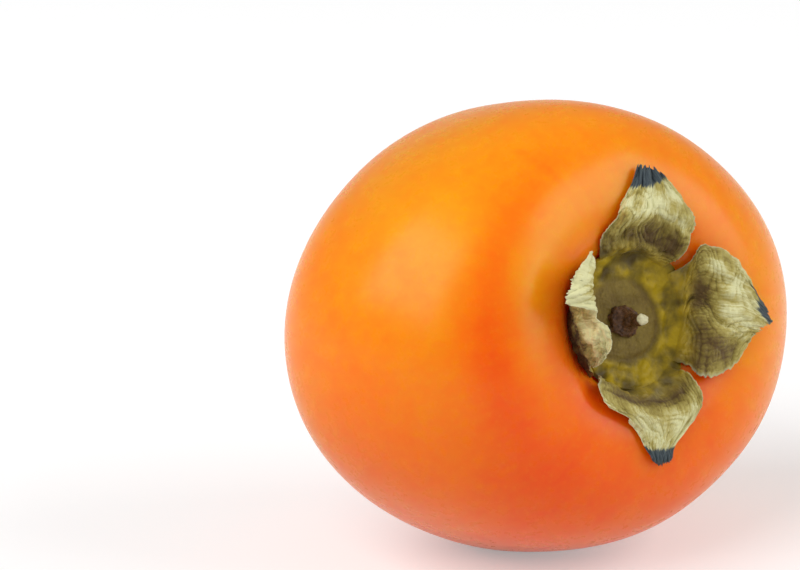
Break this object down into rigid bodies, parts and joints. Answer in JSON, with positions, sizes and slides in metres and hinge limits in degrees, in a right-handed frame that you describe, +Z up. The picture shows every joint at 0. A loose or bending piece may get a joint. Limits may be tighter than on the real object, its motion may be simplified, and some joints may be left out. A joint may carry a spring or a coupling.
{
  "type": "persimmon",
  "caption": "Ripe persimmon lying on its side, with its dried four-lobed calyx and a stub of stem, to stand as food or decoration on a surface.",
  "frame": {"origin": "centre of the flattened spot that the fruit rests on", "axes": "+Z up, -Y the way the calyx faces (16 degrees above the level), +X to the right of someone who faces the calyx"},
  "size_m": [0.0876, 0.0703, 0.0754],
  "materials": {
    "skin": "satin",
    "calyx_middle": "satin",
    "dried_sepal": "matte",
    "stem_wood": "matte",
    "dried_style": "matte"
  },
  "bodies": {
    "root": {"fruit": "skin", "calyx_disc": "calyx_middle", "sepal_upper": "dried_sepal", "sepal_right": "dried_sepal", "sepal_lower": "dried_sepal", "sepal_left": "dried_sepal", "stem_stub": "stem_wood", "blossom_tip": "dried_style"}
  },
  "joints": []
}
